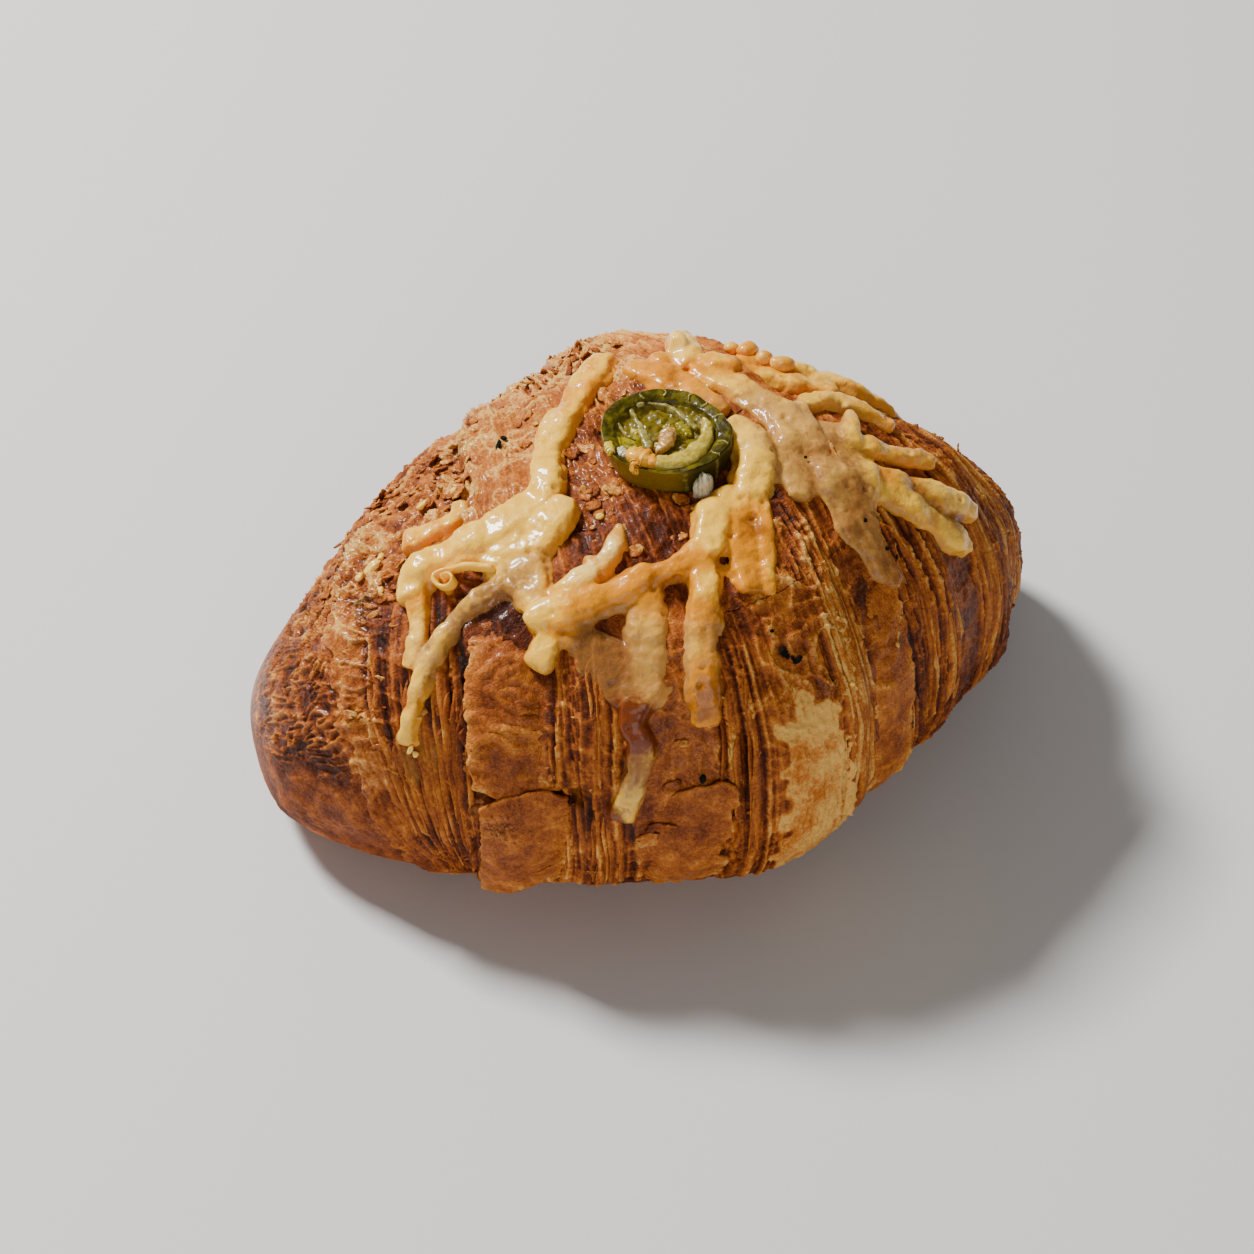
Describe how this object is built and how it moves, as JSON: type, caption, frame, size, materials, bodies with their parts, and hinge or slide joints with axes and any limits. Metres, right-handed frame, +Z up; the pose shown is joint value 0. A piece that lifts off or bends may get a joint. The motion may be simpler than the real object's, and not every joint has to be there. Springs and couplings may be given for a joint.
{
  "type": "ham and cheese croissant",
  "caption": "Browned, flaky crescent-shaped croissant with melted cheese strands and a slice of green pepper on its crown; it stands on its flat underside.",
  "frame": {"origin": "on the table under the middle of the croissant's outline", "axes": "+X along the roll towards its right tip, -Y the rounded front, +Z up"},
  "size_m": [0.158, 0.1152, 0.0805],
  "materials": {
    "crust": "baked laminated dough, golden brown to dark brown, egg-wash gloss on the ridges",
    "cheese": "melted cheese, pale yellow, oily, toasted orange in places",
    "toasted_cheese": "melted cheese, toasted golden orange",
    "pepper": "cooked green chilli pepper, dark olive skin, wet, yellow-green inside"
  },
  "bodies": {
    "root": {"croissant": "crust", "melted_cheese": "cheese", "cheese_drop": "toasted_cheese", "pepper_slice": "pepper", "cheese_shred_in_pepper": "toasted_cheese"}
  },
  "joints": []
}
